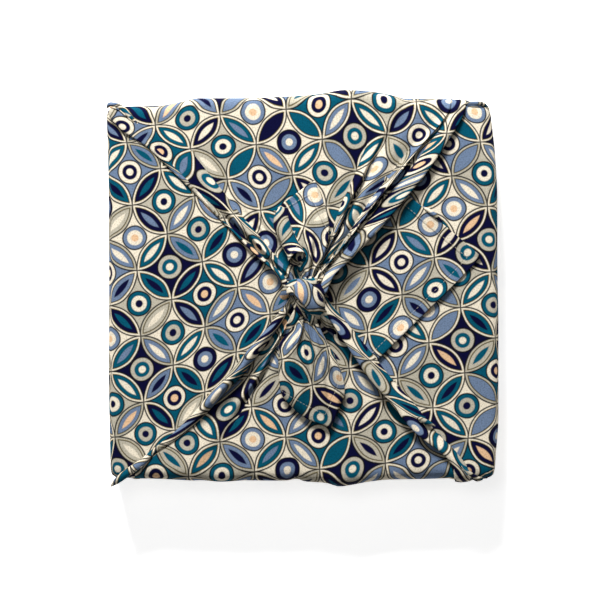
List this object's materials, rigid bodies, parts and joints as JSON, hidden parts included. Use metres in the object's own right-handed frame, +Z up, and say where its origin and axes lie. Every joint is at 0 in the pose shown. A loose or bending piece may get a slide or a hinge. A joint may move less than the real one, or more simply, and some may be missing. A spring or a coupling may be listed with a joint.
{
  "type": "furoshiki wrap",
  "caption": "Square cotton wrapping cloth folded and tied round a flat square parcel, with a knot and free tails on top.",
  "frame": {"origin": "middle of the underside, on the surface that the bundle rests on", "axes": "+Z up, away from the surface; +X towards the right side, where the free corner of the upper flap points; +Y towards the side that the upper gathered corner comes from"},
  "size_m": [0.3, 0.3027, 0.0755],
  "materials": {
    "printed_cotton": "matt woven cotton with an all-over print"
  },
  "bodies": {
    "root": {"furoshiki_cloth": "printed_cotton"}
  },
  "joints": []
}
